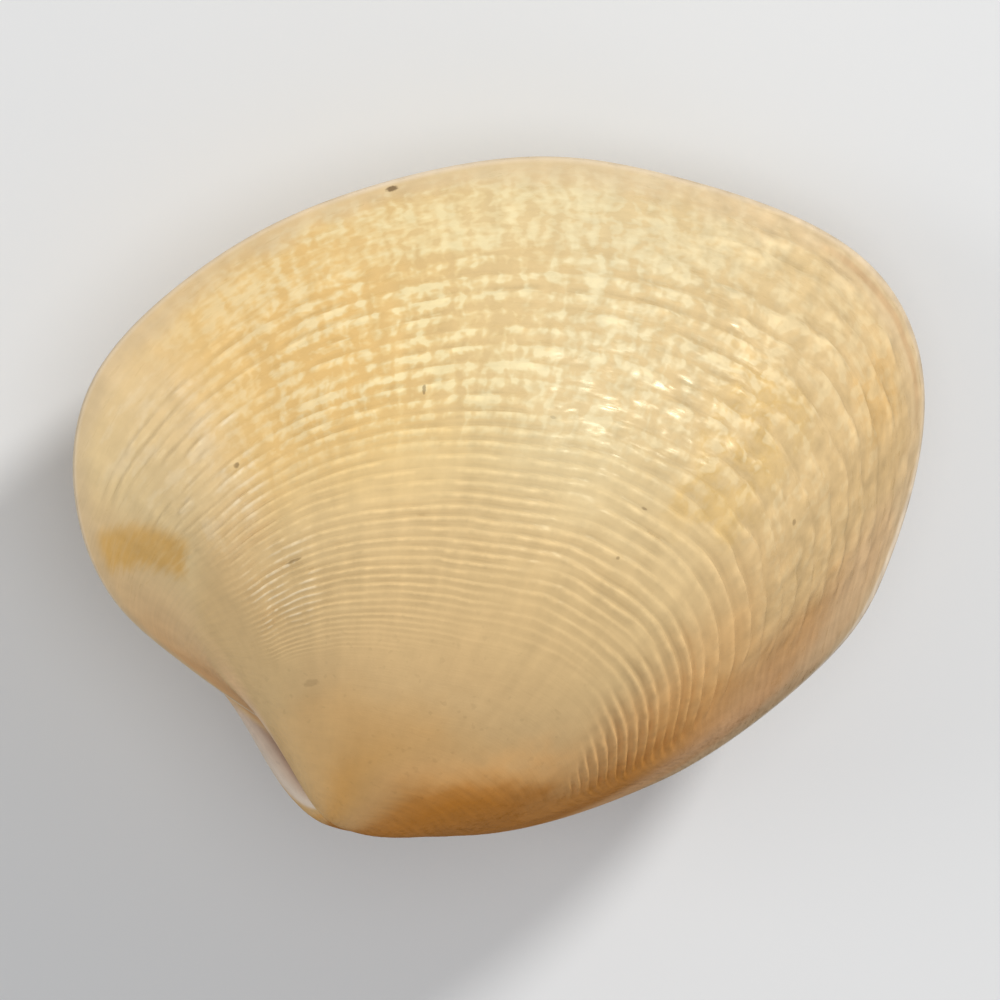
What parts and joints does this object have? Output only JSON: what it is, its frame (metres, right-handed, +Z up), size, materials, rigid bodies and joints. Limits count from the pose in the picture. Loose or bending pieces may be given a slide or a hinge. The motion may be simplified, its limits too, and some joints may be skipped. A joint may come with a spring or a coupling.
{
  "type": "venus clam shell",
  "caption": "Closed clam shell with domed, finely ribbed valves that meet at the edge, curled beaks and a brown hinge ligament.",
  "frame": {"origin": "on the floor under the middle of the shell, which lies at rest on its left valve", "axes": "+Z up with the right valve on top, +Y towards the ventral edge, -X towards the anterior end"},
  "size_m": [0.0444, 0.035, 0.0257],
  "materials": {
    "shell": "semi-gloss cream with tan rays",
    "ligament": "dull dark brown"
  },
  "bodies": {
    "root": {"right_valve": "shell", "left_valve": "shell", "ligament": "ligament"}
  },
  "joints": []
}
